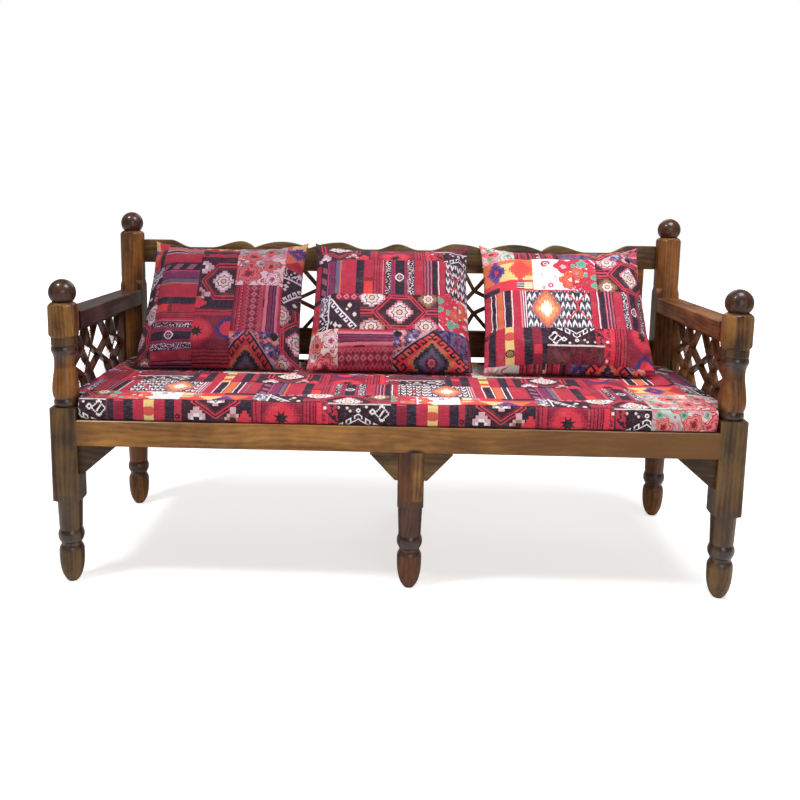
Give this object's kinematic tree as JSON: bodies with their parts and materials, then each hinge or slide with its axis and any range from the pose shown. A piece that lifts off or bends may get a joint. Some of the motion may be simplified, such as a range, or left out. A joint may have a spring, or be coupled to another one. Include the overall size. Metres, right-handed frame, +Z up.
{
  "type": "persian takht",
  "caption": "Wooden day-bench with turned posts and ball finials, lattice back and arms, a scalloped top rail, a thin patchwork-kilim mattress and loose kilim cushions.",
  "frame": {"origin": "on the floor, at the middle of the bounding box's base", "axes": "+X runs along the bench, to the right of a person who faces it; +Y runs from its front to its back; +Z is up"},
  "size_m": [1.81, 0.698, 0.987],
  "materials": {
    "wood_frame": "walnut-brown stain and lacquer over softwood, with streaks and knots",
    "wood_lattice": "walnut-brown stain and lacquer, satin",
    "fabric_mattress": "woven patchwork kilim, dark red, black, pink and cream, over soft filling",
    "fabric_cushion": "woven patchwork kilim, dark red, navy, black, orange and cream, over soft filling",
    "steel_screws": "plain steel, dulled"
  },
  "bodies": {
    "frame": {"arm_left_panel_apex_laths": "wood_lattice", "arm_left_panel_bottom_bar": "wood_lattice", "arm_left_panel_cross_laths": "wood_lattice", "arm_left_panel_link_laths": "wood_lattice", "arm_left_panel_stile_front": "wood_lattice", "arm_left_panel_stile_rear": "wood_lattice", "arm_left_panel_top_bar": "wood_lattice", "arm_rail_left": "wood_frame", "arm_rail_right": "wood_frame", "arm_right_panel_apex_laths": "wood_lattice", "arm_right_panel_bottom_bar": "wood_lattice", "arm_right_panel_cross_laths": "wood_lattice", "arm_right_panel_link_laths": "wood_lattice", "arm_right_panel_stile_front": "wood_lattice", "arm_right_panel_stile_rear": "wood_lattice", "arm_right_panel_top_bar": "wood_lattice", "back_panel_apex_laths": "wood_lattice", "back_panel_bottom_bar": "wood_lattice", "back_panel_cross_laths": "wood_lattice", "back_panel_link_laths": "wood_lattice", "back_panel_stile_left": "wood_lattice", "back_panel_stile_right": "wood_lattice", "back_panel_top_bar": "wood_lattice", "back_rail_bottom": "wood_frame", "back_rail_top": "wood_frame", "ball_finial_front_left": "wood_frame", "ball_finial_front_right": "wood_frame", "ball_finial_rear_left": "wood_frame", "ball_finial_rear_right": "wood_frame", "bracket_corner_left": "wood_frame", "bracket_corner_right": "wood_frame", "bracket_middle_left": "wood_frame", "bracket_middle_right": "wood_frame", "bracket_screws": "steel_screws", "leg_middle_front": "wood_frame", "leg_middle_rear": "wood_frame", "post_front_left": "wood_frame", "post_front_right": "wood_frame", "post_rear_left": "wood_frame", "post_rear_right": "wood_frame", "seat_bearer": "wood_frame", "seat_cleat_front_left": "wood_frame", "seat_cleat_front_right": "wood_frame", "seat_cleat_rear_left": "wood_frame", "seat_cleat_rear_right": "wood_frame", "seat_rail_front": "wood_frame", "seat_rail_left": "wood_frame", "seat_rail_rear": "wood_frame", "seat_rail_right": "wood_frame", "seat_slats": "wood_frame"},
    "mattress": {"mattress": "fabric_mattress"},
    "cushion_left": {"cushion_left": "fabric_cushion"},
    "cushion_middle": {"cushion_middle": "fabric_cushion"},
    "cushion_right": {"cushion_right": "fabric_cushion"}
  },
  "joints": [
    {"name": "mattress_lift", "type": "slide", "parent": "frame", "child": "mattress", "axis": [0, 0, 1], "range_m": [0, 0.165]},
    {"name": "cushion_left_lift", "type": "slide", "parent": "mattress", "child": "cushion_left", "axis": [0, -0.5, 0.866], "range_m": [0, 0.3]},
    {"name": "cushion_middle_lift", "type": "slide", "parent": "mattress", "child": "cushion_middle", "axis": [0, -0.5, 0.866], "range_m": [0, 0.3]},
    {"name": "cushion_right_lift", "type": "slide", "parent": "mattress", "child": "cushion_right", "axis": [0, -0.5, 0.866], "range_m": [0, 0.3]}
  ]
}
